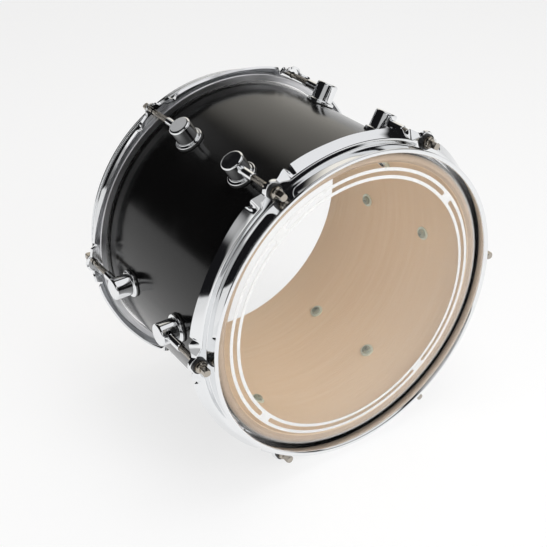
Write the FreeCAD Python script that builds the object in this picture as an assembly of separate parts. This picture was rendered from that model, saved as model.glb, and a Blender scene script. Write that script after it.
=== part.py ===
import FreeCAD, Part
import math
import os
from FreeCAD import Vector

# A small tom drum lying on its side, in millimetres, +Z up, batter head facing -Y.
# Each end is drawn upright on the drum's axis: r is the distance from that axis, z the height
# above the film plane, positive away from the drum. It is then set on its end and laid down.

# Shell
shell_diameter = 300.8
shell_wall = 9.5
shell_length = 228.6
edge_inner_cut = 2.9      # 45 degree cut on the inside of the bearing edge
edge_flat = 0.8           # level top that the film rests on
seat_gap = 0.05           # glue line between parts that are drawn up against each other

# Heads
film_thickness = 0.35
film_ease = 0.4           # room between the film's bend and the bearing edge
collar_depth = 13.5       # film plane down to the film's tucked edge
tuck_radius = 1.5
flesh_gap = 1.0           # film collar to flesh hoop
flesh_width = 6.4
flesh_height = 7.0
flesh_chamfer = 0.8
tuck_length = 3.6         # film held inside the flesh hoop
ring_inset = 3.7          # damping ring inside the shell's bore
ring_width = 10.4
ring_line = 3.1           # width of each of the two lines
ring_thickness = 0.25
bridge_width = 12.5
bridge_count = 4
first_bridge_angle = 38.0

# Hoops
sheet = 2.3
hoop_clearance = 1.1      # film collar to hoop wall
lip_height = 9.5          # top of the hoop above the film plane
lip_reach = 4.6           # lip beyond the inner wall
lip_round = 2.6
shoulder_drop = 8.0       # film plane down to the top of the shoulder
shoulder_fillet = 0.8
skirt_clearance = 0.6     # flesh hoop to skirt
skirt_drop = 8.5          # shoulder top down to the skirt's edge
skirt_flare = 3.8         # skirt's edge beyond its bend
bend_round = 3.0
ear_round = 9.0
ear_root_width = 35.0
ear_root_inset = 6.2      # root of the ear inside the rod circle
ear_hole_clearance = 0.75
ear_rim = 3.4             # shoulder top down to the edge of the ear's tip
ear_mouth = 8.0           # half width of the level edge at the tip
wing_flare = 3.8          # spread of the ear's turned-down edge over the skirt's drop
wing_run = 7.0            # tip's level edge to the skirt's edge, along the side wing

# Rods, washers and lugs
lug_count = 6
rod_offset = 4.2          # flesh hoop to the rod's axis
rod_diameter = 5.5
rod_engagement = 20.6     # rod inside its receiver
rod_tip_chamfer = 1.0
collar_diameter = 10.8
collar_height = 3.2
collar_dome = 2.2         # round over the collar's top edge
drive_square = 6.0
drive_height = 8.0
drive_corner_diameter = 7.8
drive_chamfer = 0.7
washer_diameter = 11.4
washer_thickness = 1.2
washer_clearance = 0.25
nylon_diameter = 14.6
nylon_thickness = 2.4
nylon_clearance = 0.4
lug_inset = 68.0          # film plane down to the lug's axis
lug_cover = 8.6           # lug's face beyond the rod's axis
post_diameter = 21.8
post_top_round = 2.3
foot_diameter = 27.5
foot_height = 3.6
foot_round = 1.2
foot_fillet = 0.8
gasket_thickness = 1.0
gasket_margin = 0.4       # gasket beyond the foot
receiver_diameter = 8.0
receiver_reach = 29.0     # lug's axis to the open end of the receiver
receiver_depth = 7.0      # receiver past the lug's axis
receiver_gap = 0.05
receiver_chamfer = 0.6
thread_gap = 0.2          # rod to receiver bore
screw_diameter = 5.0
screw_clearance = 0.3
screw_bite = 5.5          # screw inside the lug
screw_head_diameter = 9.4
screw_head_height = 3.0
screw_head_round = 1.8
screw_washer_diameter = 14.4
screw_washer_thickness = 1.2

# Vent
vent_angle = 30.0
vent_bore_diameter = 9.5
vent_tube_wall = 1.3
vent_hole_clearance = 0.1
vent_flange_width = 3.4
vent_flange_thickness = 1.8
vent_ring_width = 3.6
vent_ring_thickness = 2.4
vent_tube_proud = 1.0     # tube beyond its lock ring

# Worked out from the sizes above
shell_radius = shell_diameter / 2
shell_bore = shell_radius - shell_wall
half_length = shell_length / 2
edge_round = shell_wall - edge_inner_cut - edge_flat
film_bend_start = shell_radius - edge_round + film_ease
film_bend = edge_round + film_ease
collar_radius = film_bend_start + film_bend
batter_plies = 2
flesh_inner = collar_radius + batter_plies * film_thickness + flesh_gap
flesh_outer = flesh_inner + flesh_width
ring_outer_radius = shell_bore - ring_inset
ring_inner_radius = ring_outer_radius - ring_width
rod_circle_radius = flesh_outer + rod_offset
tuck_end = flesh_inner + tuck_length
hoop_bore = collar_radius + batter_plies * film_thickness + hoop_clearance
hoop_wall_outer = hoop_bore + sheet
shoulder_under = shoulder_drop + sheet
skirt_inner = flesh_outer + skirt_clearance
skirt_radius = skirt_inner + sheet + skirt_flare
skirt_edge = shoulder_drop + skirt_drop
rod_radius = rod_diameter / 2
washer_seat = -shoulder_drop + nylon_thickness
rod_seat = washer_seat + washer_thickness
lug_angles = [360.0 / lug_count * i for i in range(lug_count)]
gasket_top = shell_radius + seat_gap + gasket_thickness
foot_top = shell_radius + foot_height
lug_top = rod_circle_radius + lug_cover
screw_tip = gasket_top + seat_gap + screw_bite
screw_washer_face = math.sqrt(shell_bore ** 2 - (screw_washer_diameter / 2) ** 2) - seat_gap
screw_seat = screw_washer_face - screw_washer_thickness
half_pitch = math.radians(180.0 / lug_count)
ear_low_point = rod_circle_radius * math.cos(half_pitch) + ear_round + wing_flare
rest_height = max(skirt_radius, ear_low_point)
past = 1.0                # how far a cutting tool runs past what it cuts
same_point = 0.000001     # two points closer than this are one

axis_z = Vector(0, 0, 1)
axis_x = Vector(1, 0, 0)
origin = Vector(0, 0, 0)


def outline(steps, plane):
    """Closed face from corner points; a pair of points is an arc's middle and end."""
    spot = (lambda u, v: Vector(u, 0, v)) if plane == "rz" else (lambda u, v: Vector(u, v, 0))
    edges = []
    here = spot(*steps[0])
    for step in steps[1:] + [steps[0]]:
        if isinstance(step[0], tuple):
            middle, end = spot(*step[0]), spot(*step[1])
            edges.append(Part.Arc(here, middle, end).toShape())
        else:
            end = spot(*step)
            if here.distanceToPoint(end) > same_point:
                edges.append(Part.makeLine(here, end))
        here = end
    return Part.Face(Part.Wire(edges))


def arc_to(centre, radius, start_deg, end_deg):
    """Middle and end of an arc about a centre, for use in an outline."""
    def at(deg):
        turn = math.radians(deg)
        return (centre[0] + radius * math.cos(turn), centre[1] + radius * math.sin(turn))
    return (at((start_deg + end_deg) / 2), at(end_deg))


def ring_of(steps):
    """Solid turned about the drum's axis from an r, z outline."""
    return outline(steps, "rz").revolve(origin, axis_z, 360)


def post_of(steps):
    """Solid turned about the X axis from an x, radius outline."""
    return outline(steps, "xy").revolve(origin, axis_x, 360)


def rod_of(radius, low, high):
    """Upright cylinder on the drum's axis between two heights."""
    return Part.makeCylinder(radius, high - low, Vector(0, 0, low), axis_z)


def stud_of(radius, low, high):
    """Cylinder along X between two distances from the drum's axis."""
    return Part.makeCylinder(radius, high - low, Vector(low, 0, 0), axis_x)


def turned(shape, angle):
    """Copy of a shape turned about the drum's axis."""
    copy = shape.copy()
    copy.rotate(origin, axis_z, angle)
    return copy


def at_rod(shape):
    """Copy of a shape drawn on the axis, moved out to the rod circle."""
    return shape.translated(Vector(rod_circle_radius, 0, 0))


def at_lug(shape):
    """Copy of a shape drawn along X, moved down to the lug's height."""
    return shape.translated(Vector(0, 0, -lug_inset))


def shell():
    """Round shell with a bearing edge at both ends, holes for lug screws and the vent."""
    cut_r = shell_bore + edge_inner_cut
    round_r = cut_r + edge_flat
    top = half_length
    upper = [(shell_bore, top - edge_inner_cut), (cut_r, top), (round_r, top),
             arc_to((round_r, top - edge_round), edge_round, 90, 0)]
    lower = [(shell_radius, -top + edge_round), arc_to((round_r, -top + edge_round), edge_round, 0, -90),
             (cut_r, -top), (shell_bore, -top + edge_inner_cut)]
    body = ring_of(upper + lower)
    hole = stud_of(screw_diameter / 2 + screw_clearance, shell_bore - past, shell_radius + past)
    for angle in lug_angles:
        for height in (half_length - lug_inset, lug_inset - half_length):
            body = body.cut(turned(hole.translated(Vector(0, 0, height)), angle))
    vent_hole = stud_of(vent_tube_radius() + vent_hole_clearance, shell_bore - past, shell_radius + past)
    return body.cut(turned(vent_hole, vent_angle))


def vent_tube_radius():
    return vent_bore_diameter / 2 + vent_tube_wall


def vent_ring_face():
    """Distance from the axis at which the flat lock ring meets the round inner wall."""
    rim = vent_tube_radius() + vent_ring_width
    return math.sqrt(shell_bore ** 2 - rim ** 2) - seat_gap


def vent_grommet():
    """Flanged tube through the shell's wall."""
    bore = vent_bore_diameter / 2
    tube = vent_tube_radius()
    flange = tube + vent_flange_width
    seat = shell_radius + seat_gap
    inner_end = vent_ring_face() - vent_ring_thickness - vent_tube_proud
    face = seat + vent_flange_thickness
    bevel = vent_flange_thickness / 2
    steps = [(inner_end, bore), (inner_end, tube), (seat, tube), (seat, flange),
             (seat + bevel, flange), (face, flange - bevel), (face, bore)]
    return turned(post_of(steps), vent_angle)


def vent_lock_ring():
    """Ring that holds the grommet from inside."""
    face = vent_ring_face()
    bore = vent_tube_radius() + seat_gap
    rim = vent_tube_radius() + vent_ring_width
    steps = [(face - vent_ring_thickness, bore), (face - vent_ring_thickness, rim), (face, rim), (face, bore)]
    return turned(post_of(steps), vent_angle)


def film_line(offset):
    """Outline of one film surface, from the axis to its tucked edge."""
    bend_centre = (film_bend_start, -film_bend)
    tuck_centre = (collar_radius + tuck_radius, -collar_depth + tuck_radius)
    return [(0, offset), (film_bend_start, offset), arc_to(bend_centre, film_bend + offset, 90, 0),
            (collar_radius + offset, -collar_depth + tuck_radius),
            arc_to(tuck_centre, tuck_radius - offset, 180, 270), (tuck_end, -collar_depth + offset)]


def film_line_back(offset):
    """The same outline, from the tucked edge to the axis."""
    bend_centre = (film_bend_start, -film_bend)
    tuck_centre = (collar_radius + tuck_radius, -collar_depth + tuck_radius)
    return [(tuck_end, -collar_depth + offset), (collar_radius + tuck_radius, -collar_depth + offset),
            arc_to(tuck_centre, tuck_radius - offset, 270, 180), (collar_radius + offset, -film_bend),
            arc_to(bend_centre, film_bend + offset, 0, 90), (0, offset)]


def film_ply(number):
    """One ply of film, counted from the shell outwards."""
    return ring_of(film_line(number * film_thickness) + film_line_back((number + 1) * film_thickness))


def flesh_hoop(plies):
    """Metal ring with the slot that holds the film's edge."""
    top = -shoulder_under
    low = top - flesh_height
    slot_low = -collar_depth
    slot_high = slot_low + plies * film_thickness
    outer_flat = flesh_outer - flesh_chamfer
    return ring_of([(flesh_inner, top), (outer_flat, top), (flesh_outer, top - flesh_chamfer),
                    (flesh_outer, low + flesh_chamfer), (outer_flat, low), (flesh_inner, low),
                    (flesh_inner, slot_low), (tuck_end, slot_low), (tuck_end, slot_high),
                    (flesh_inner, slot_high)])


def damping_ring():
    """Flat ring under the film: two lines joined by bridges, with round-ended windows between them."""
    ring = rod_of(ring_outer_radius, -ring_thickness, 0)
    ring = ring.cut(rod_of(ring_inner_radius, -ring_thickness - past, past))
    outer = ring_outer_radius - ring_line
    inner = ring_inner_radius + ring_line
    middle = (outer + inner) / 2
    end_radius = (outer - inner) / 2
    margin = math.degrees((bridge_width / 2 + end_radius) / middle)
    pitch = 360.0 / bridge_count
    for number in range(bridge_count):
        start = first_bridge_angle + number * pitch + margin
        end = start + pitch - 2 * margin
        ring = ring.cut(window(inner, outer, middle, end_radius, start, end))
    return ring


def window(inner, outer, middle, end_radius, start, end):
    """Curved slot with round ends, cut through the damping ring."""
    def at(radius, deg):
        turn = math.radians(deg)
        return (radius * math.cos(turn), radius * math.sin(turn))
    steps = [at(inner, end), arc_to(at(middle, end), end_radius, end + 180, end),
             arc_to((0, 0), outer, end, start), arc_to(at(middle, start), end_radius, start, start - 180),
             arc_to((0, 0), inner, start, end)]
    face = outline(steps, "xy")
    slot = face.extrude(Vector(0, 0, ring_thickness + 2 * past))
    return slot.translated(Vector(0, 0, -ring_thickness - past))


def hoop_ring():
    """Pressed hoop without ears: lip, wall, shoulder and flared skirt."""
    lip_edge = hoop_bore + lip_reach - sheet / 2
    under_lip = lip_height - sheet
    bend_centre = (skirt_inner + sheet - bend_round, -shoulder_drop - bend_round)
    edge_out = (skirt_radius, -skirt_edge)
    across = edge_out[0] - bend_centre[0]
    down = edge_out[1] - bend_centre[1]
    slope = math.atan2(down, across) + math.acos(bend_round / math.hypot(across, down))
    bend_end = arc_to(bend_centre, bend_round, 90, math.degrees(slope))
    edge_in = (edge_out[0] - sheet * math.cos(slope), edge_out[1] - sheet * math.sin(slope))
    inner_top = (bend_end[1][0] - sheet * math.cos(slope), bend_end[1][1] - sheet * math.sin(slope))
    climb = (-shoulder_under - inner_top[1]) / math.cos(slope)
    inner_corner = (inner_top[0] - climb * math.sin(slope), -shoulder_under)
    lip_centre = (hoop_bore + lip_round, lip_height - lip_round)
    fillet_centre = (hoop_wall_outer + shoulder_fillet, -shoulder_drop + shoulder_fillet)
    return ring_of([
        (hoop_bore, -shoulder_under), (hoop_bore, lip_centre[1]),
        arc_to(lip_centre, lip_round, 180, 90), (lip_edge, lip_height),
        arc_to((lip_edge, lip_height - sheet / 2), sheet / 2, 90, -90), (hoop_wall_outer, under_lip),
        (hoop_wall_outer, fillet_centre[1]), arc_to(fillet_centre, shoulder_fillet, 180, 270),
        (bend_centre[0], -shoulder_drop), bend_end, edge_out, edge_in, inner_corner])


def ear_outline(inset):
    """Tapered ear with a round end, in plan, drawn in by an inset."""
    radius = ear_round - inset
    root_r = rod_circle_radius - ear_root_inset
    root_half = ear_root_width / 2 - inset
    reach = math.hypot(ear_root_inset, root_half)
    lean = math.atan2(root_half, -ear_root_inset) - math.acos(radius / reach)
    side = math.degrees(lean)
    touch = (rod_circle_radius + radius * math.cos(lean), -radius * math.sin(lean))
    tip = arc_to((rod_circle_radius, 0), radius, -side, side)
    return [(root_r, -root_half), touch, tip, (root_r, root_half)]


def ear_spread(inset, low, high):
    """Solid on the ear's outline between two heights, spreading as it goes down."""
    levels = []
    for height in (high, low):
        spread = wing_flare * (-shoulder_drop - height) / skirt_drop
        level = outline(ear_outline(inset - spread), "xy").OuterWire
        levels.append(level.translated(Vector(0, 0, height)))
    return Part.makeLoft(levels, True, True)


def ear():
    """Ear before its underside is hollowed: a spreading block, cut away low at the tip."""
    block = ear_spread(0, -skirt_edge, -shoulder_drop)
    reach = rod_circle_radius + ear_round + wing_flare + past
    foot = ear_mouth + wing_run
    mouth = outline([(-foot, -skirt_edge), (-ear_mouth, -shoulder_drop - ear_rim),
                     (ear_mouth, -shoulder_drop - ear_rim), (foot, -skirt_edge)], "rz")
    mouth = turned(mouth.extrude(Vector(0, -reach, 0)), 90)
    return block.cut(mouth).cut(rod_of(skirt_inner, -skirt_edge - past, -shoulder_under))


def hoop():
    """Whole hoop: the ring with its ears, hollowed below and bored for the rods."""
    body = hoop_ring()
    hollow = ear_spread(sheet, -skirt_edge - sheet - past, -shoulder_under)
    hollow = hollow.cut(rod_of(skirt_inner - sheet, -skirt_edge - 2 * sheet - past, past))
    hole = at_rod(rod_of(rod_radius + ear_hole_clearance, -skirt_edge, past))
    for angle in lug_angles:
        body = body.fuse(turned(ear(), angle)).cut(turned(hollow, angle)).cut(turned(hole, angle))
    return body.removeSplitter()


def flat_washer(diameter, thickness, clearance, low):
    """Washer on the rod circle with its lower face at a height."""
    body = rod_of(diameter / 2, low, low + thickness)
    return at_rod(body.cut(rod_of(rod_radius + clearance, low - past, low + thickness + past)))


def tension_rod():
    """Rod with a domed collar and a square drive head."""
    collar = collar_diameter / 2
    collar_top = rod_seat + collar_height
    dome_low = collar_top - collar_dome
    tip = -lug_inset + receiver_reach - rod_engagement
    stem = ring_of([(0, tip), (rod_radius - rod_tip_chamfer, tip), (rod_radius, tip + rod_tip_chamfer),
                    (rod_radius, rod_seat), (collar, rod_seat), (collar, dome_low),
                    arc_to((collar - collar_dome, dome_low), collar_dome, 0, 90), (0, collar_top)])
    top = collar_top + drive_height
    corner = drive_corner_diameter / 2
    blank = ring_of([(0, dome_low), (corner, dome_low), (corner, top - drive_chamfer),
                     (corner - drive_chamfer, top), (0, top)])
    side = drive_square
    square = Part.makeBox(side, side, top - dome_low, Vector(-side / 2, -side / 2, dome_low))
    return at_rod(stem.fuse(blank.common(square)).removeSplitter())


def receiver():
    """Threaded sleeve in the lug, open towards the hoop."""
    outer = receiver_diameter / 2
    bore = rod_radius + thread_gap
    low = -lug_inset - receiver_depth
    high = -lug_inset + receiver_reach
    return at_rod(ring_of([(bore, low), (outer, low), (outer, high - receiver_chamfer),
                           (outer - receiver_chamfer, high), (bore, high)]))


def lug():
    """Round post on a wider foot, bored for the receiver and for its screw."""
    foot = foot_diameter / 2
    post = post_diameter / 2
    foot_edge = foot_top - foot_round
    top_edge = lug_top - post_top_round
    body = post_of([
        (shell_bore, 0), (shell_bore, foot), (foot_edge, foot),
        arc_to((foot_edge, foot - foot_round), foot_round, 90, 0), (foot_top, post + foot_fillet),
        arc_to((foot_top + foot_fillet, post + foot_fillet), foot_fillet, 180, 270), (top_edge, post),
        arc_to((top_edge, post - post_top_round), post_top_round, 90, 0), (lug_top, 0)])
    body = at_lug(body)
    body = body.cut(rod_of(gasket_top + seat_gap, -lug_inset - foot - past, -lug_inset + foot + past))
    bore = rod_of(receiver_diameter / 2 + receiver_gap, -lug_inset - receiver_depth - receiver_gap, 0)
    thread = stud_of(screw_diameter / 2 + receiver_gap, shell_radius, screw_tip + receiver_gap)
    return body.cut(at_rod(bore)).cut(at_lug(thread))


def gasket():
    """Thin curved pad between a lug's foot and the shell."""
    radius = foot_diameter / 2 + gasket_margin
    pad = at_lug(stud_of(radius, shell_bore, lug_top))
    low, high = -lug_inset - radius - past, -lug_inset + radius + past
    layer = rod_of(gasket_top, low, high).cut(rod_of(shell_radius + seat_gap, low, high))
    hole = at_lug(stud_of(screw_diameter / 2 + screw_clearance, shell_bore, lug_top))
    return pad.common(layer).cut(hole)


def screw_washer():
    """Flat washer on the shell's inner wall."""
    rim = screw_washer_diameter / 2
    hole = screw_diameter / 2 + screw_clearance
    steps = [(screw_seat, hole), (screw_seat, rim), (screw_washer_face, rim), (screw_washer_face, hole)]
    return at_lug(post_of(steps))


def lug_screw():
    """Pan head screw from inside the shell into the lug."""
    head = screw_head_diameter / 2
    shank = screw_diameter / 2
    low = screw_seat - screw_head_height
    round_centre = (low + screw_head_round, head - screw_head_round)
    return at_lug(post_of([(low, 0), (low, round_centre[1]), arc_to(round_centre, screw_head_round, 180, 90),
                           (screw_seat, head), (screw_seat, shank), (screw_tip, shank), (screw_tip, 0)]))


def placed(shape, end):
    """Set a shape drawn on the film plane at its end of the drum and lay the drum on its side."""
    copy = shape.copy()
    if end == "resonant":
        copy.rotate(origin, axis_x, 180)
        copy.translate(Vector(0, 0, -half_length))
    elif end == "batter":
        copy.translate(Vector(0, 0, half_length))
    copy.rotate(origin, axis_x, 90)
    copy.translate(Vector(0, 0, rest_height))
    return copy


def around(shape, end):
    """The copies of a shape at every lug of one end, numbered alike on both ends."""
    direction = -1 if end == "resonant" else 1
    return [placed(turned(shape, direction * angle), end) for angle in lug_angles]


def write(name, shape):
    shape.exportStep("parts/" + name + ".step")


def write_each(name, shapes):
    for number, shape in enumerate(shapes, 1):
        write(name + "_" + str(number), shape)


def write_end(end):
    """All the pieces that both ends have."""
    write(end + "_hoop", placed(hoop(), end))
    nylon = flat_washer(nylon_diameter, nylon_thickness, nylon_clearance, -shoulder_drop)
    write(end + "_nylon_washers", Part.Compound(around(nylon, end)))
    write_each(end + "_rod", around(tension_rod(), end))
    steel = flat_washer(washer_diameter, washer_thickness, washer_clearance, washer_seat)
    write_each(end + "_rod_washer", around(steel, end))
    write_each(end + "_lug", around(lug(), end))
    write(end + "_lug_gaskets", Part.Compound(around(gasket(), end)))
    write(end + "_receivers", Part.Compound(around(receiver(), end)))
    write(end + "_lug_screws", Part.Compound(around(lug_screw(), end)))
    write(end + "_screw_washers", Part.Compound(around(screw_washer(), end)))


os.makedirs("parts", exist_ok=True)
write("shell", placed(shell(), "middle"))
write("vent_grommet", placed(vent_grommet(), "middle"))
write("vent_lock_ring", placed(vent_lock_ring(), "middle"))
write("batter_film_lower", placed(film_ply(0), "batter"))
write("batter_film_upper", placed(film_ply(1), "batter"))
write("batter_damping_ring", placed(damping_ring(), "batter"))
write("batter_flesh_hoop", placed(flesh_hoop(batter_plies), "batter"))
write("resonant_film", placed(film_ply(0), "resonant"))
write("resonant_flesh_hoop", placed(flesh_hoop(1), "resonant"))
write_end("batter")
write_end("resonant")
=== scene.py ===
import bmesh
import bpy
import math
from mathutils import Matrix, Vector


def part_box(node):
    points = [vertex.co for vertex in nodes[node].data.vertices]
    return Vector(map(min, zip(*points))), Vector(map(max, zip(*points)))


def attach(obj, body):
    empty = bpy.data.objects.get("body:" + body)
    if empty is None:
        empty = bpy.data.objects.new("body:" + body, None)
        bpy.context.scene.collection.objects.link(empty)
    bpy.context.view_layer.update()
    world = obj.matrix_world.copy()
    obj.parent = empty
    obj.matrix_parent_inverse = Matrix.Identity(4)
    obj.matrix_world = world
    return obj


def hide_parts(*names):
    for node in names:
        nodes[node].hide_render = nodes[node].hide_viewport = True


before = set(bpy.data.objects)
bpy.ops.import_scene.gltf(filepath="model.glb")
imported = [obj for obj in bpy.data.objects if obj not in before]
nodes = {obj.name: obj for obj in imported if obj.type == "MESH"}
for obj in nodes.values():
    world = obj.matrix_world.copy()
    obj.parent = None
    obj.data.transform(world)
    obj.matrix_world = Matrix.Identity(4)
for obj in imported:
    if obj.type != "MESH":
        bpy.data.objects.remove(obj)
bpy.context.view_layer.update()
scene = bpy.context.scene
endSides = dict(batter=-1, resonant=1)  # the way each head faces along Y
lugNumbers = range(1, 7)
lugPitchDeg = 360.0 / len(lugNumbers)

shellLow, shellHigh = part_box("shell")
axisHeight = (shellLow.z + shellHigh.z) / 2
shellRadius = (shellHigh.x - shellLow.x) / 2
shellHalf = (shellHigh.y - shellLow.y) / 2
print("frame loaded, drum axis at", round(axisHeight, 4))


def newMaterial(name):
    material = bpy.data.materials.new(name)
    material.use_nodes = True
    tree = material.node_tree
    return material, tree, tree.nodes["Principled BSDF"]


def addNode(tree, kind, **settings):
    node = tree.nodes.new(kind)
    for key, value in settings.items():
        setattr(node, key, value)
    return node


def feed(tree, socket, source):
    if hasattr(source, "links"):
        tree.links.new(source, socket)
    else:
        socket.default_value = source


def maths(tree, operation, first, second=0.0, third=0.0):
    node = addNode(tree, "ShaderNodeMath", operation=operation)
    feed(tree, node.inputs[0], first)
    feed(tree, node.inputs[1], second)
    feed(tree, node.inputs[2], third)
    return node.outputs[0]


def spread(tree, value, low, high, outLow, outHigh):
    node = addNode(tree, "ShaderNodeMapRange", interpolation_type="SMOOTHSTEP")
    feed(tree, node.inputs["Value"], value)
    feed(tree, node.inputs["From Min"], low)
    feed(tree, node.inputs["From Max"], high)
    feed(tree, node.inputs["To Min"], outLow)
    feed(tree, node.inputs["To Max"], outHigh)
    return node.outputs["Result"]


def blend(tree, factor, first, second, kind="RGBA"):
    node = addNode(tree, "ShaderNodeMix", data_type=kind)
    feed(tree, node.inputs["Factor"], factor)
    feed(tree, node.inputs["A"], first)
    feed(tree, node.inputs["B"], second)
    return node.outputs["Result"]


def addNoise(tree, place, scale, detail):
    node = addNode(tree, "ShaderNodeTexNoise")
    feed(tree, node.inputs["Vector"], place)
    feed(tree, node.inputs["Scale"], scale)
    feed(tree, node.inputs["Detail"], detail)
    return node.outputs["Fac"]


def addBump(tree, bsdf, height, depth):
    node = addNode(tree, "ShaderNodeBump")
    feed(tree, node.inputs["Distance"], depth)
    feed(tree, node.inputs["Height"], height)
    feed(tree, bsdf.inputs["Normal"], node.outputs["Normal"])


# inputs are given as name and usual value, outputs as name and kind
def newGroup(name, inputs, outputs):
    tree = bpy.data.node_groups.new(name, "ShaderNodeTree")
    for label, usual in inputs.items():
        kind = "Vector" if isinstance(usual, tuple) else "Float"
        socket = tree.interface.new_socket(label, in_out="INPUT", socket_type="NodeSocket" + kind)
        socket.default_value = usual
    for label, kind in outputs.items():
        tree.interface.new_socket(label, in_out="OUTPUT", socket_type="NodeSocket" + kind)
    return tree, addNode(tree, "NodeGroupOutput").inputs


def placeGroup(tree, group, **values):
    node = addNode(tree, "ShaderNodeGroup", node_tree=group)
    for label, value in values.items():
        node.inputs[label].default_value = value
    return node.outputs


# where a point lies on the drum: from the axis, around it, along it, and on the unrolled wall
def makeDrumPlace():
    outputs = dict(Radius="Float", Angle="Float", Along="Float", Unrolled="Vector")
    tree, out = newGroup("drumPlace", {}, outputs)
    parts = addNode(tree, "ShaderNodeSeparateXYZ")
    feed(tree, parts.inputs[0], addNode(tree, "ShaderNodeTexCoord").outputs["Object"])
    height = maths(tree, "SUBTRACT", parts.outputs["Z"], axisHeight)
    sideSquare = maths(tree, "POWER", parts.outputs["X"], 2.0)
    heightSquare = maths(tree, "POWER", height, 2.0)
    radius = maths(tree, "SQRT", maths(tree, "ADD", sideSquare, heightSquare))
    angle = maths(tree, "ARCTAN2", height, parts.outputs["X"])
    unrolled = addNode(tree, "ShaderNodeCombineXYZ")
    feed(tree, unrolled.inputs[0], maths(tree, "MULTIPLY", angle, shellRadius))
    feed(tree, unrolled.inputs[1], parts.outputs["Y"])
    feed(tree, unrolled.inputs[2], radius)
    feed(tree, out["Radius"], radius)
    feed(tree, out["Angle"], angle)
    feed(tree, out["Along"], parts.outputs["Y"])
    feed(tree, out["Unrolled"], unrolled.outputs[0])
    return tree


smudgeSettings = dict(detail=5.0, noiseLow=0.35, noiseHigh=0.7)


# uneven gloss from clean to smudged
def makeSmudges():
    s = smudgeSettings
    inputs = dict(Scale=60.0, Clean=0.03, Smudged=0.08)
    tree, out = newGroup("smudges", inputs, dict(Roughness="Float"))
    given = addNode(tree, "NodeGroupInput").outputs
    place = addNode(tree, "ShaderNodeTexCoord").outputs["Object"]
    noise = addNoise(tree, place, given["Scale"], s["detail"])
    rough = spread(tree, noise, s["noiseLow"], s["noiseHigh"], given["Clean"], given["Smudged"])
    feed(tree, out["Roughness"], rough)
    return tree


grainSettings = dict(fineScale=8.0, fineDetail=2.0)


# grain on the unrolled wall, stretched by its scales
def makeGrain():
    s = grainSettings
    inputs = dict(Scales=(1.0, 1.0, 1.0), Detail=4.0, Low=0.35, High=0.65)
    tree, out = newGroup("grain", inputs, dict(Share="Float", Broad="Float", Fine="Float"))
    given = addNode(tree, "NodeGroupInput").outputs
    stretch = addNode(tree, "ShaderNodeMapping")
    feed(tree, stretch.inputs["Vector"], placeGroup(tree, drumPlace)["Unrolled"])
    feed(tree, stretch.inputs["Scale"], given["Scales"])
    broad = addNoise(tree, stretch.outputs[0], 1.0, given["Detail"])
    fine = addNoise(tree, stretch.outputs[0], s["fineScale"], s["fineDetail"])
    feed(tree, out["Share"], spread(tree, broad, given["Low"], given["High"], 0.0, 1.0))
    feed(tree, out["Broad"], broad)
    feed(tree, out["Fine"], fine)
    return tree


drumPlace = makeDrumPlace()
smudges = makeSmudges()
grain = makeGrain()
print("shared groups ready")

shellSettings = dict(
    lacquer=(0.0035, 0.0034, 0.0034, 1), specular=0.32, coat=0.12, coatRoughness=0.1,
    smudges=dict(Scale=24.0, Clean=0.16, Smudged=0.22),
    mapleLight=(0.88, 0.71, 0.525, 1), mapleDark=(0.85, 0.67, 0.475, 1), shadedEdgeWood=(0.56, 0.43, 0.32, 1),
    grain=dict(Scales=(9.0, 260.0, 260.0), Detail=6.0, Low=0.3, High=0.7),
    grainDepth=0.00002, woodRoughness=0.55,
    bore=0.1409, edgeShadeFrom=0.0003, edgeShadeFull=0.0006, edgeRound=0.0012, edgeFade=0.0004,
)


# lacquer outside, maple on the inner wall, darker wood on the bearing edges as painted shade of the gap
# under the hoop
def makeShellMaterial():
    s = shellSettings
    material, tree, bsdf = newMaterial("shellLacquer")
    mapleGrain = placeGroup(tree, grain, **s["grain"])
    radius = placeGroup(tree, drumPlace)["Radius"]
    edge = shellRadius - s["edgeRound"]
    lacquered = spread(tree, radius, edge, edge + s["edgeFade"], 0.0, 1.0)
    # the bearing edges get a darker wood colour: painted shade of the gap between film collar and hoop
    cut = spread(tree, radius, s["bore"] + s["edgeShadeFrom"], s["bore"] + s["edgeShadeFull"], 0.0, 1.0)
    maple = blend(tree, mapleGrain["Share"], s["mapleLight"], s["mapleDark"])
    woodWithEdgeShade = blend(tree, cut, maple, s["shadedEdgeWood"])
    feed(tree, bsdf.inputs["Base Color"], blend(tree, lacquered, woodWithEdgeShade, s["lacquer"]))
    polish = placeGroup(tree, smudges, **s["smudges"])["Roughness"]
    feed(tree, bsdf.inputs["Roughness"], blend(tree, lacquered, s["woodRoughness"], polish, "FLOAT"))
    bsdf.inputs["Specular IOR Level"].default_value = s["specular"]
    feed(tree, bsdf.inputs["Coat Weight"], maths(tree, "MULTIPLY", lacquered, s["coat"]))
    bsdf.inputs["Coat Roughness"].default_value = s["coatRoughness"]
    bare = maths(tree, "SUBTRACT", 1.0, lacquered)
    addBump(tree, bsdf, maths(tree, "MULTIPLY", mapleGrain["Broad"], bare), s["grainDepth"])
    return material


chromeSettings = dict(colour=(0.84, 0.85, 0.86, 1), smudges=dict(Scale=60.0, Clean=0.03, Smudged=0.075))


def makeChrome():
    s = chromeSettings
    material, tree, bsdf = newMaterial("brightChrome")
    bsdf.inputs["Base Color"].default_value = s["colour"]
    bsdf.inputs["Metallic"].default_value = 1.0
    feed(tree, bsdf.inputs["Roughness"], placeGroup(tree, smudges, **s["smudges"])["Roughness"])
    return material


rodSettings = dict(
    colour=(0.44, 0.405, 0.355, 1), smudges=dict(Scale=140.0, Clean=0.12, Smudged=0.24),
    circle=0.1635, pitch=0.001058, threadFrom=0.0925, threadFade=0.001, depth=0.0003,
)


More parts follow.
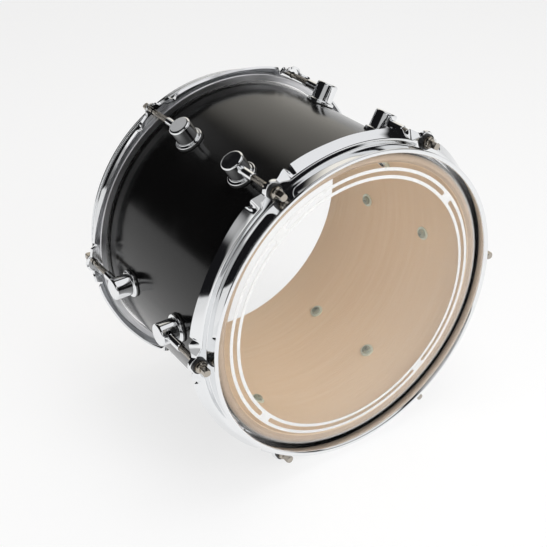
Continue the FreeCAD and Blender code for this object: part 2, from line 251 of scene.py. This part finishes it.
# a helix around whichever rod is nearest, on the inner part of its shaft
def makeThread():
    s = rodSettings
    tree, out = newGroup("rodThread", {}, dict(Height="Float"))
    place = placeGroup(tree, drumPlace)
    lugPitch = math.radians(lugPitchDeg)
    count = maths(tree, "ROUND", maths(tree, "DIVIDE", place["Angle"], lugPitch))
    turn = maths(tree, "SUBTRACT", place["Angle"], maths(tree, "MULTIPLY", count, lugPitch))
    across = maths(tree, "MULTIPLY", place["Radius"], maths(tree, "SINE", turn))
    reach = maths(tree, "MULTIPLY", place["Radius"], maths(tree, "COSINE", turn))
    spin = maths(tree, "ARCTAN2", across, maths(tree, "SUBTRACT", reach, s["circle"]))
    phase = maths(tree, "MULTIPLY_ADD", place["Along"], 2 * math.pi / s["pitch"], spin)
    along = maths(tree, "ABSOLUTE", place["Along"])
    shaft = spread(tree, along, s["threadFrom"], s["threadFrom"] + s["threadFade"], 1.0, 0.0)
    feed(tree, out["Height"], maths(tree, "MULTIPLY", maths(tree, "SINE", phase), shaft))
    return tree


def makeRodSteel():
    s = rodSettings
    material, tree, bsdf = newMaterial("rodSteel")
    bsdf.inputs["Base Color"].default_value = s["colour"]
    bsdf.inputs["Metallic"].default_value = 1.0
    feed(tree, bsdf.inputs["Roughness"], placeGroup(tree, smudges, **s["smudges"])["Roughness"])
    addBump(tree, bsdf, placeGroup(tree, makeThread())["Height"], s["depth"])
    return material


filmSettings = dict(
    colour=(0.95, 0.94, 0.92, 1), smudges=dict(Scale=14.0, Clean=0.03, Smudged=0.08),
    clear=0.012, grazingSheen=0.4, blend=0.5, facingFrom=0.3,
)


# clear when seen face on, whiter at a slant: the white is painted reflection, standing in for the film's
# stronger reflection at a grazing look
def makeFilm():
    s = filmSettings
    material, tree, bsdf = newMaterial("clearFilm")
    bsdf.inputs["Base Color"].default_value = s["colour"]
    feed(tree, bsdf.inputs["Roughness"], placeGroup(tree, smudges, **s["smudges"])["Roughness"])
    facing = addNode(tree, "ShaderNodeLayerWeight")
    facing.inputs["Blend"].default_value = s["blend"]
    # more of the white colour at a slant: painted reflection
    alpha = spread(tree, facing.outputs["Facing"], s["facingFrom"], 1.0, s["clear"], s["grazingSheen"])
    feed(tree, bsdf.inputs["Alpha"], alpha)
    return material


grainySettings = dict(
    screwSteel=dict(light=(0.38, 0.43, 0.36, 1), dark=(0.31, 0.36, 0.30, 1), metallic=0.35,
                    smooth=0.32, rough=0.46, scales=(400.0, 400.0, 400.0), bump=0.00002),
    washerZinc=dict(light=(0.80, 0.87, 0.77, 1), dark=(0.72, 0.79, 0.70, 1), metallic=0.3,
                    smooth=0.34, rough=0.50, scales=(400.0, 400.0, 400.0), bump=0.00002),
    aluminium=dict(light=(0.76, 0.76, 0.77, 1), dark=(0.66, 0.66, 0.68, 1), metallic=1.0,
                   smooth=0.28, rough=0.42, scales=(30.0, 900.0, 900.0), bump=0.00002),
    rubber=dict(light=(0.016, 0.016, 0.016, 1), dark=(0.009, 0.009, 0.009, 1), metallic=0.0,
                smooth=0.55, rough=0.75, scales=(500.0, 500.0, 500.0), bump=0.00005),
    nylon=dict(light=(0.018, 0.018, 0.019, 1), dark=(0.010, 0.010, 0.010, 1), metallic=0.0,
               smooth=0.26, rough=0.42, scales=(350.0, 350.0, 350.0), bump=0.00003),
    ringWhite=dict(light=(0.94, 0.94, 0.93, 1), dark=(0.90, 0.90, 0.89, 1), metallic=0.0,
                   smooth=0.42, rough=0.55, scales=(160.0, 160.0, 160.0), bump=0.00001),
)


def makeGrainy(name):
    s = grainySettings[name]
    material, tree, bsdf = newMaterial(name)
    fleck = placeGroup(tree, grain, Scales=s["scales"])
    feed(tree, bsdf.inputs["Base Color"], blend(tree, fleck["Share"], s["light"], s["dark"]))
    feed(tree, bsdf.inputs["Roughness"], spread(tree, fleck["Share"], 0.0, 1.0, s["smooth"], s["rough"]))
    bsdf.inputs["Metallic"].default_value = s["metallic"]
    addBump(tree, bsdf, fleck["Fine"], s["bump"])
    return material


chrome = makeChrome()
rodSteel = makeRodSteel()
film = makeFilm()
grainy = {name: makeGrainy(name) for name in grainySettings}
print("finishes ready")


def cover(names, material):
    for name in names:
        data = nodes[name].data
        data.materials.clear()
        data.materials.append(material)


def meshObject(name, points, faces):
    data = bpy.data.meshes.new(name)
    data.from_pydata(points, [], faces)
    work = bmesh.new()
    work.from_mesh(data)
    bmesh.ops.recalc_face_normals(work, faces=work.faces)
    work.to_mesh(data)
    work.free()
    piece = bpy.data.objects.new(name, data)
    scene.collection.objects.link(piece)
    return piece


def smooth(data, sharpDeg):
    data.shade_smooth()
    data.set_sharp_from_angle(angle=math.radians(sharpDeg))


# columns of points joined around, either closed in themselves or capped at both ends
def gridFaces(start, count, rows, capped):
    faces = []
    for i in range(count):
        here, there = start + i * rows, start + (i + 1) % count * rows
        for j in range(rows - 1 if capped else rows):
            above = (j + 1) % rows
            faces.append((here + j, there + j, there + above, here + above))
    if capped:
        faces += [[start + i * rows + j for i in range(count)] for j in (0, rows - 1)]
    return faces


def gridObject(name, columns, capped, sharpDeg, material):
    points = [point for column in columns for point in column]
    piece = meshObject(name, points, gridFaces(0, len(columns), len(columns[0]), capped))
    smooth(piece.data, sharpDeg)
    piece.data.materials.append(material)
    return piece


# takes away the prisms between pairs of low and high outlines
def cutAway(piece, outlines, sharpDeg):
    points, faces = [], []
    for low, high in outlines:
        faces += gridFaces(len(points), len(low), 2, True)
        points += [point for pair in zip(low, high) for point in pair]
    tool = meshObject("tool", points, faces)
    modifier = piece.modifiers.new("cut", "BOOLEAN")
    modifier.operation = "DIFFERENCE"
    modifier.solver = "EXACT"
    modifier.object = tool
    shaped = piece.evaluated_get(bpy.context.evaluated_depsgraph_get())
    data = bpy.data.meshes.new_from_object(shaped)
    piece.modifiers.clear()
    piece.data = data
    smooth(data, sharpDeg)
    bpy.data.objects.remove(tool)


# rise is measured outwards from the shell's edge
def onEnd(end, radius, turn, rise):
    along = endSides[end] * (shellHalf + rise)
    return (radius * math.cos(turn), along, axisHeight + radius * math.sin(turn))


def arcPoints(centre, radius, startDeg, endDeg, count):
    turns = [math.radians(startDeg + (endDeg - startDeg) * i / count) for i in range(count + 1)]
    return [(centre[0] + radius * math.cos(t), centre[1] + radius * math.sin(t)) for t in turns]


def circleOutline(radius, count):
    turns = [2 * math.pi * i / count for i in range(count)]
    return [(radius * math.cos(t), radius * math.sin(t)) for t in turns]


def mix(first, second, share):
    return first + (second - first) * share


hoopSettings = dict(
    bore=0.1530, sheet=0.0023, lipTop=0.0095, lipEdge=0.1576, lipRound=0.0026, shoulder=-0.0080,
    fillet=0.0010, flatEnd=0.1592, bend=0.0030, skirtEdge=-0.0165,
    lipSteps=7, edgeSteps=8, neckSteps=4, shoulderSteps=5, bendSteps=7, between=(0.33, 0.67),
    rodCircle=rodSettings["circle"], holeRadius=0.0035, holeSteps=32,
    earSpanDeg=11.0, fineDeg=0.2, coarseDeg=1.0, sharpDeg=38,
)
earSettings = dict(
    tipRound=0.0094, tipHalf=0.0080, tipEdge=-0.0114, tipRun=0.0012, sideRun=0.0034, tipBend=0.0012,
    side=[
        dict(offset=0.0186, radius=0.1690, edge=-0.0150),  # corner of the side wing
        dict(offset=0.0218, radius=0.1645, edge=-0.0160),  # pinch beside it
        dict(offset=0.0256, radius=0.1677, edge=-0.0165),  # end of the skirt, a little swollen
        dict(offset=0.0700, radius=0.1660, edge=-0.0165),  # plain skirt
    ],
)


# the skirt's edge at a distance from an ear's middle: radius, rise, run and bend
def skirtLine(offset):
    s, e = hoopSettings, earSettings
    if offset < e["tipHalf"]:
        tipRadius = s["rodCircle"] + math.sqrt(e["tipRound"] ** 2 - offset ** 2)
        tipRun = mix(e["tipRun"], e["sideRun"], (offset / e["tipHalf"]) ** 2)
        return tipRadius, e["tipEdge"], tipRun, e["tipBend"]
    sideRadius = s["rodCircle"] + math.sqrt(e["tipRound"] ** 2 - e["tipHalf"] ** 2)
    stops = [(e["tipHalf"], sideRadius, e["tipEdge"], e["sideRun"], e["tipBend"])]
    for stop in e["side"]:
        run = stop["radius"] - s["flatEnd"]
        stops.append((stop["offset"], stop["radius"], stop["edge"], run, s["bend"]))
    for here, there in zip(stops, stops[1:]):
        if offset < there[0]:
            share = (offset - here[0]) / (there[0] - here[0])
            eased = share * share * (3 - 2 * share)
            return tuple(mix(first, second, eased) for first, second in zip(here[1:], there[1:]))
    return stops[-1][1:]


# the sheet's section: up the bore, over the lip, down the wall, out to the skirt's edge and back under
def hoopSection(offset):
    s = hoopSettings
    wall = s["bore"] + s["sheet"]
    under = s["shoulder"] - s["sheet"]
    edgeRadius, edgeRise, run, bend = skirtLine(offset)
    centre = (edgeRadius - run, s["shoulder"] - bend)
    across, down = edgeRadius - centre[0], edgeRise - centre[1]
    lean = math.atan2(down, across) + math.acos(min(1.0, bend / math.hypot(across, down)))
    filletRadius = wall + s["fillet"]
    lipCentre = (s["bore"] + s["lipRound"], s["lipTop"] - s["lipRound"])
    edgeCentre = (s["lipEdge"] - s["sheet"] / 2, s["lipTop"] - s["sheet"] / 2)
    neckCentre = (filletRadius, s["lipTop"] - s["sheet"] - s["fillet"])
    shoulderCentre = (filletRadius, s["shoulder"] + s["fillet"])
    path = [(s["bore"], under), (s["bore"], s["shoulder"])]
    path += arcPoints(lipCentre, s["lipRound"], 180, 90, s["lipSteps"])
    path += arcPoints(edgeCentre, s["sheet"] / 2, 90, -90, s["edgeSteps"])
    path += arcPoints(neckCentre, s["fillet"], 90, 180, s["neckSteps"])
    path += [(wall, 0.0)]
    path += arcPoints(shoulderCentre, s["fillet"], 180, 270, s["shoulderSteps"])
    path += [(mix(filletRadius, centre[0], share), s["shoulder"]) for share in s["between"]]
    path += arcPoints(centre, bend, 90, math.degrees(lean), s["bendSteps"])
    bent = path[-1]
    for share in (*s["between"], 1.0):
        path.append((mix(bent[0], edgeRadius, share), mix(bent[1], edgeRise, share)))
    inside = (edgeRadius - s["sheet"] * math.cos(lean), edgeRise - s["sheet"] * math.sin(lean))
    climb = (under - inside[1]) / math.cos(lean)
    corner = inside[0] - climb * math.sin(lean)
    return path + [inside, (corner, under), (mix(corner, s["bore"], 0.5), under)]


# fine steps at the ears, coarse ones between them
def hoopTurns():
    s = hoopSettings
    span = s["earSpanDeg"]
    fine = [-span + s["fineDeg"] * i for i in range(round(2 * span / s["fineDeg"]))]
    coarse = [span + s["coarseDeg"] * i for i in range(round((lugPitchDeg - 2 * span) / s["coarseDeg"]))]
    return [(offset, k * lugPitchDeg + offset) for k in range(len(lugNumbers)) for offset in fine + coarse]


def makeHoop(end):
    s = hoopSettings
    columns = []
    for offsetDeg, turnDeg in hoopTurns():
        fromEar = min(abs(offsetDeg), lugPitchDeg - abs(offsetDeg))
        offset = s["rodCircle"] * math.sin(math.radians(fromEar))
        columns.append([onEnd(end, r, math.radians(turnDeg), z) for r, z in hoopSection(offset)])
    hoop = gridObject(end + "HoopSkin", columns, False, s["sharpDeg"], chrome)
    holes = []
    for k in lugNumbers:
        turn = math.radians(k * lugPitchDeg)
        spots = [(s["rodCircle"] + u, v) for u, v in circleOutline(s["holeRadius"], s["holeSteps"])]
        turned = [(math.hypot(u, v), turn + math.atan2(v, u)) for u, v in spots]
        holes.append([[onEnd(end, r, t, z) for r, t in turned] for z in (s["skirtEdge"], s["lipTop"])])
    cutAway(hoop, holes, s["sharpDeg"])
    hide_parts(end + "_hoop")
    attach(hoop, end + "_hoop")


filmShape = dict(
    rings=(0.02, 0.06, 0.1, 0.13, 0.14), flat=0.1450, bend=0.0062, bendSteps=10, collar=-0.0135,
    tuck=0.0015, tuckSteps=6, tuckEnd=0.1555, ply=0.00035, apart=0.00002, turns=240, sharpDeg=35,
)


# from the middle out, over the shell's edge, down the collar and into the flesh hoop
def filmLine(lift):
    s = filmShape
    tuckCentre = (s["flat"] + s["bend"] + s["tuck"], s["collar"] + s["tuck"])
    line = [(radius, lift) for radius in s["rings"]]
    line += arcPoints((s["flat"], -s["bend"]), s["bend"] + lift, 90, 0, s["bendSteps"])
    line += arcPoints(tuckCentre, s["tuck"] - lift, 180, 270, s["tuckSteps"])
    return line + [(s["tuckEnd"], s["collar"] + lift)]


def makeFilmSkin(end, node, ply):
    s = filmShape
    low, high = ply * s["ply"] + s["apart"], (ply + 1) * s["ply"] - s["apart"]
    section = filmLine(low) + list(reversed(filmLine(high)))
    turns = [2 * math.pi * i / s["turns"] for i in range(s["turns"])]
    columns = [[onEnd(end, r, turn, z) for r, z in section] for turn in turns]
    skin = gridObject(node + "Skin", columns, True, s["sharpDeg"], film)
    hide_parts(node)
    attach(skin, end + "_head")


screwSettings = dict(
    inset=0.0680, low=0.13647, seat=0.13947, tip=0.1570, head=0.0047, headRound=0.0018, roundSteps=8,
    shank=0.0025, steps=32, armLong=0.0023, armWide=0.0006, recess=0.0016, sharpDeg=35,
)


# reach is measured from the drum's axis through a lug
def onLug(end, turn, reach, across, along):
    x = reach * math.cos(turn) - across * math.sin(turn)
    z = reach * math.sin(turn) + across * math.cos(turn)
    return (x, endSides[end] * (shellHalf - screwSettings["inset"]) + along, axisHeight + z)


def crossOutline(arm, half):
    quarter = [(arm, -half), (arm, half), (half, half)]
    outline = []
    for turn in range(4):
        outline += quarter
        quarter = [(-v, u) for u, v in quarter]
    return outline


def makeLugScrews(end):
    s = screwSettings
    headCentre = (s["head"] - s["headRound"], s["low"] + s["headRound"])
    section = arcPoints(headCentre, s["headRound"], 270, 360, s["roundSteps"])
    section += [(s["head"], s["seat"]), (s["shank"], s["seat"]), (s["shank"], s["tip"])]
    cross = crossOutline(s["armLong"], s["armWide"])
    levels = (s["low"] - s["recess"], s["low"] + s["recess"])
    points, faces, recesses = [], [], []
    for k in lugNumbers:
        turn = math.radians(k * lugPitchDeg)
        faces += gridFaces(len(points), s["steps"], len(section), True)
        for u, v in circleOutline(1.0, s["steps"]):
            points += [onLug(end, turn, reach, radius * u, radius * v) for radius, reach in section]
        recesses.append([[onLug(end, turn, reach, u, v) for u, v in cross] for reach in levels])
    screws = meshObject(end + "LugScrewHeads", points, faces)
    screws.data.materials.append(grainy["screwSteel"])
    cutAway(screws, recesses, s["sharpDeg"])
    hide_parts(end + "_lug_screws")
    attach(screws, "shell")


cover(["shell"], makeShellMaterial())
cover(["vent_grommet"], chrome)
cover(["vent_lock_ring"], grainy["washerZinc"])
makeFilmSkin("batter", "batter_film_lower", 0)
makeFilmSkin("batter", "batter_film_upper", 1)
makeFilmSkin("resonant", "resonant_film", 0)
cover(["batter_damping_ring"], grainy["ringWhite"])
for end in endSides:
    makeHoop(end)
    cover([end + "_receivers"], chrome)
    cover([f"{end}_lug_{n}" for n in lugNumbers], chrome)
    cover([f"{end}_rod_{n}" for n in lugNumbers], rodSteel)
    cover([f"{end}_rod_washer_{n}" for n in lugNumbers], rodSteel)
    cover([end + "_lug_gaskets"], grainy["rubber"])
    cover([end + "_nylon_washers"], grainy["nylon"])
    makeLugScrews(end)
    cover([end + "_screw_washers"], grainy["washerZinc"])
    cover([end + "_flesh_hoop"], grainy["aluminium"])
print("skins made and finishes on", len(nodes), "nodes")

stageSettings = dict(size=30.0, colour=(0.95, 0.95, 0.95, 1), roughness=0.9, ownWhite=0.74)


# mostly its own white to the camera, mirrors and glass, plain paper to all other light
def makeFloorPaper():
    s = stageSettings
    material, tree, bsdf = newMaterial("floorPaper")
    bsdf.inputs["Base Color"].default_value = s["colour"]
    bsdf.inputs["Roughness"].default_value = s["roughness"]
    glow = addNode(tree, "ShaderNodeEmission")
    glow.inputs["Strength"].default_value = 1.0
    path = addNode(tree, "ShaderNodeLightPath").outputs
    seen = maths(tree, "MAXIMUM", path["Is Camera Ray"], path["Is Glossy Ray"])
    seen = maths(tree, "MAXIMUM", seen, path["Is Transmission Ray"])
    both = addNode(tree, "ShaderNodeMixShader")
    feed(tree, both.inputs["Fac"], maths(tree, "MULTIPLY", seen, s["ownWhite"]))
    feed(tree, both.inputs[1], bsdf.outputs[0])
    feed(tree, both.inputs[2], glow.outputs[0])
    feed(tree, tree.nodes["Material Output"].inputs["Surface"], both.outputs[0])
    return material


def makeFloor():
    bpy.ops.mesh.primitive_plane_add(size=stageSettings["size"], location=(0, 0, 0))
    floor = bpy.context.object
    floor.name = "floor"
    floor.data.materials.append(makeFloorPaper())


worldSettings = dict(
    room=(0.009, 0.009, 0.010, 1), haze=(0.80, 0.80, 0.80, 1), hazeFull=0.03, hazeEnd=0.06,
    boxes=dict(
        lowBack=dict(colour=(0.80, 0.80, 0.79, 1), centre=(0.26, 0.97, 0.0), squash=7.0,
                     edge=0.74, full=0.85),
        highBack=dict(colour=(0.42, 0.42, 0.42, 1), centre=(-0.03, 0.89, 0.46), squash=1.0,
                      edge=0.979, full=0.988),
        overhead=dict(colour=(0.90, 0.90, 0.91, 1), centre=(0.41, -0.29, 0.87), squash=1.0,
                      edge=0.84, full=0.88),
        leftGrey=dict(colour=(0.50, 0.50, 0.50, 1), centre=(-0.70, -0.63, 0.34), squash=1.0,
                      edge=0.914, full=0.961),
        leftWhite=dict(colour=(1.0, 1.0, 1.0, 1), centre=(-0.41, -0.71, 0.57), squash=1.0,
                       edge=0.965, full=0.985),
        rightWarm=dict(colour=(0.98, 0.94, 0.86, 1), centre=(0.62, 0.66, 0.43), squash=1.0,
                       edge=0.80, full=0.96),
        lowRight=dict(colour=(0.88, 0.88, 0.88, 1), centre=(0.83, -0.55, 0.0), squash=6.0,
                      edge=0.42, full=0.60),
    ),
)


# a dark room with pale boxes, each a soft spot around its centre, and pale haze up to the horizon
def makeWorld():
    s = worldSettings
    world = bpy.data.worlds.new("studio")
    scene.world = world
    world.use_nodes = True
    tree = world.node_tree
    direction = addNode(tree, "ShaderNodeTexCoord").outputs["Generated"]
    colour = s["room"]
    for box in s["boxes"].values():
        squashed = addNode(tree, "ShaderNodeVectorMath", operation="MULTIPLY")
        feed(tree, squashed.inputs[0], direction)
        squashed.inputs[1].default_value = (1.0, 1.0, box["squash"])
        evened = addNode(tree, "ShaderNodeVectorMath", operation="NORMALIZE")
        feed(tree, evened.inputs[0], squashed.outputs["Vector"])
        towards = addNode(tree, "ShaderNodeVectorMath", operation="DOT_PRODUCT")
        feed(tree, towards.inputs[0], evened.outputs["Vector"])
        towards.inputs[1].default_value = Vector(box["centre"]).normalized()
        share = spread(tree, towards.outputs["Value"], box["edge"], box["full"], 0.0, 1.0)
        colour = blend(tree, share, colour, box["colour"])
    parts = addNode(tree, "ShaderNodeSeparateXYZ")
    feed(tree, parts.inputs[0], direction)
    low = spread(tree, parts.outputs["Z"], s["hazeFull"], s["hazeEnd"], 1.0, 0.0)
    feed(tree, tree.nodes["Background"].inputs["Color"], blend(tree, low, colour, s["haze"]))


def aimAt(piece, place, aim):
    piece.location = place
    piece.rotation_euler = (Vector(aim) - Vector(place)).to_track_quat("-Z", "Y").to_euler()


lightSettings = [
    dict(name="topBox", place=(0.10, -0.10, 1.70), aim=(0, 0, 0.15), size=1.0, power=10.0),
    dict(name="frontBox", place=(0.35, -1.70, 1.30), aim=(0, 0, 0.15), size=1.0, power=13.0),
    dict(name="fillBox", place=(-0.75, -1.45, 1.20), aim=(0, 0, 0.15), size=0.9, power=11.0),
]


def makeLights():
    for s in lightSettings:
        data = bpy.data.lights.new(s["name"], "AREA")
        data.shape = "SQUARE"
        data.size = s["size"]
        data.energy = s["power"]
        lamp = bpy.data.objects.new(s["name"], data)
        scene.collection.objects.link(lamp)
        lamp.visible_glossy = False
        aimAt(lamp, s["place"], s["aim"])


cameraSettings = dict(
    place=(-0.4661, -0.6994, 0.6697), aim=(-0.0167, -0.0004, 0.1510), rollDeg=-1.78,
    lens=63.75, sensor=36.0, clipStart=0.01,
)


def makeCamera():
    s = cameraSettings
    data = bpy.data.cameras.new("camera")
    data.lens = s["lens"]
    data.sensor_width = s["sensor"]
    data.clip_start = s["clipStart"]
    camera = bpy.data.objects.new("camera", data)
    scene.collection.objects.link(camera)
    aimAt(camera, s["place"], s["aim"])
    camera.rotation_euler.rotate_axis("Z", math.radians(s["rollDeg"]))
    scene.camera = camera


makeFloor()
makeWorld()
makeLights()
makeCamera()
scene.view_settings.view_transform = "Standard"
print("stage, light and camera set")
